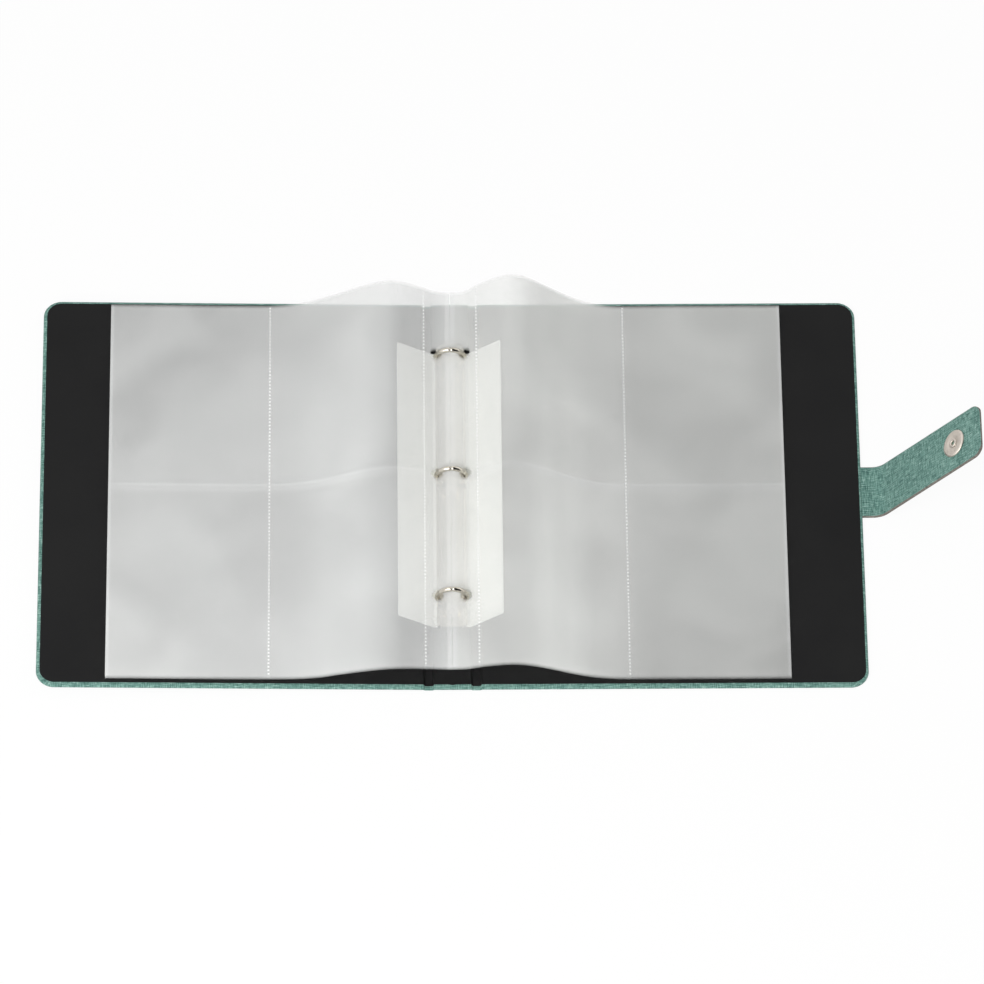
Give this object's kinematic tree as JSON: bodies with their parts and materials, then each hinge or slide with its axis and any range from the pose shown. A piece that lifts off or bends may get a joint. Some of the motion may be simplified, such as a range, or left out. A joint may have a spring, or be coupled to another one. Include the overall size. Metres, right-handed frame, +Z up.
{
  "type": "ring photo album",
  "caption": "Open cloth-covered photo album with a ring binding, milky pocket leaves, a sheet lifter and a magnetic strap closure.",
  "frame": {"origin": "middle of the spine's outer face, which lies on the table under the open album", "axes": "+X from the spine to the back cover's fore edge and its strap, +Y towards the head of the pages, where the pockets open, +Z up out of the open album"},
  "size_m": [0.4603, 0.225, 0.0591],
  "materials": {
    "cloth": "linen-look woven book cloth",
    "strap": "linen-look cloth, stitched, with cut grey-brown edges",
    "board": "uncoated greyboard",
    "lining": "matt black lining paper",
    "ring_metal": "polished nickel plating",
    "snap_metal": "satin nickel plating",
    "magnet": "sintered ferrite",
    "lifter": "white polypropylene sheet",
    "film": "milky soft film"
  },
  "bodies": {
    "spine": {"spine_cloth": "cloth", "spine_board": "board", "spine_lining": "lining", "lifter_base": "lifter", "ring_cover_plate": "ring_metal", "rivet_1": "ring_metal", "rivet_2": "ring_metal"},
    "front_cover": {"front_cloth": "cloth", "front_board": "board", "front_lining": "lining", "snap_socket_base": "snap_metal", "snap_socket_magnet": "magnet", "snap_socket_cup": "snap_metal"},
    "back_cover": {"back_cloth": "cloth", "back_board": "board", "back_lining": "lining", "strap_anchor": "strap"},
    "strap_bridge": {"strap_bridge": "strap"},
    "strap_tip": {"strap_tip": "strap", "snap_disc": "snap_metal", "snap_rivet": "snap_metal"},
    "blade_right": {"blade_right": "ring_metal", "half_ring_right_1": "ring_metal", "half_ring_right_2": "ring_metal", "half_ring_right_3": "ring_metal"},
    "blade_left": {"blade_left": "ring_metal", "half_ring_left_1": "ring_metal", "half_ring_left_2": "ring_metal", "half_ring_left_3": "ring_metal"},
    "left_leaves": {"leaf_left_2": "film", "leaf_left_3": "film", "leaf_left_4": "film"},
    "right_leaves": {"leaf_right_2": "film", "leaf_right_3": "film", "leaf_right_4": "film"},
    "left_top_leaf": {"leaf_left_1": "film"},
    "right_top_leaf": {"leaf_right_1": "film"},
    "lifter_left": {"lifter_wing_left": "lifter"},
    "lifter_right": {"lifter_wing_right": "lifter"}
  },
  "joints": [
    {"name": "front_cover_hinge", "type": "hinge", "parent": "spine", "child": "front_cover", "pos_m": [-0.0116, 0, 0.0004], "axis": [0, 1, 0], "range_deg": [0, 88.6]},
    {"name": "back_cover_hinge", "type": "hinge", "parent": "spine", "child": "back_cover", "pos_m": [0.0116, 0, 0.0004], "axis": [0, -1, 0], "range_deg": [0, 90]},
    {"name": "strap_root_bend", "type": "hinge", "parent": "back_cover", "child": "strap_bridge", "pos_m": [0.21087, 0, 0.00218], "axis": [0, -1, 0], "range_deg": [-51, 39]},
    {"name": "strap_tip_bend", "type": "hinge", "parent": "strap_bridge", "child": "strap_tip", "pos_m": [0.2282, 0, 0.02337], "axis": [0, -1, 0], "range_deg": [0, 90]},
    {"name": "ring_open", "type": "hinge", "parent": "spine", "child": "blade_right", "pos_m": [0.00605, 0, 0.00415], "axis": [0, -1, 0], "range_deg": [-18, 0]},
    {"name": "ring_open_left", "type": "hinge", "parent": "spine", "child": "blade_left", "pos_m": [-0.00605, 0, 0.00415], "axis": [0, 1, 0], "range_deg": [-18, 0]},
    {"name": "left_leaves_turn", "type": "hinge", "parent": "spine", "child": "left_leaves", "pos_m": [0, 0, 0.0144], "axis": [0, 1, 0], "range_deg": [0, 90], "deforming": ["leaf_left_2", "leaf_left_3", "leaf_left_4"]},
    {"name": "right_leaves_turn", "type": "hinge", "parent": "spine", "child": "right_leaves", "pos_m": [0, 0, 0.0144], "axis": [0, -1, 0], "range_deg": [0, 90], "deforming": ["leaf_right_2", "leaf_right_3", "leaf_right_4"]},
    {"name": "left_top_leaf_turn", "type": "hinge", "parent": "left_leaves", "child": "left_top_leaf", "pos_m": [0, 0, 0.0144], "axis": [0, -1, 0], "range_deg": [-160, 0], "deforming": ["leaf_left_1"]},
    {"name": "right_top_leaf_turn", "type": "hinge", "parent": "right_leaves", "child": "right_top_leaf", "pos_m": [0, 0, 0.0144], "axis": [0, 1, 0], "range_deg": [-160, 0], "deforming": ["leaf_right_1"]},
    {"name": "left_lifter_fold", "type": "hinge", "parent": "spine", "child": "lifter_left", "pos_m": [-0.00895, 0, 0.0028], "axis": [0, 1, 0], "range_deg": [0, 57]},
    {"name": "right_lifter_fold", "type": "hinge", "parent": "spine", "child": "lifter_right", "pos_m": [0.00895, 0, 0.0028], "axis": [0, -1, 0], "range_deg": [0, 51]}
  ],
  "couplings": [
    {"joint": "ring_open_left", "follows": "ring_open", "ratio": 1},
    {"joint": "left_leaves_turn", "follows": "front_cover_hinge", "ratio": 1.0158},
    {"joint": "right_leaves_turn", "follows": "back_cover_hinge", "ratio": 1},
    {"joint": "left_lifter_fold", "follows": "front_cover_hinge", "ratio": 0.6433},
    {"joint": "right_lifter_fold", "follows": "back_cover_hinge", "ratio": 0.5667}
  ]
}
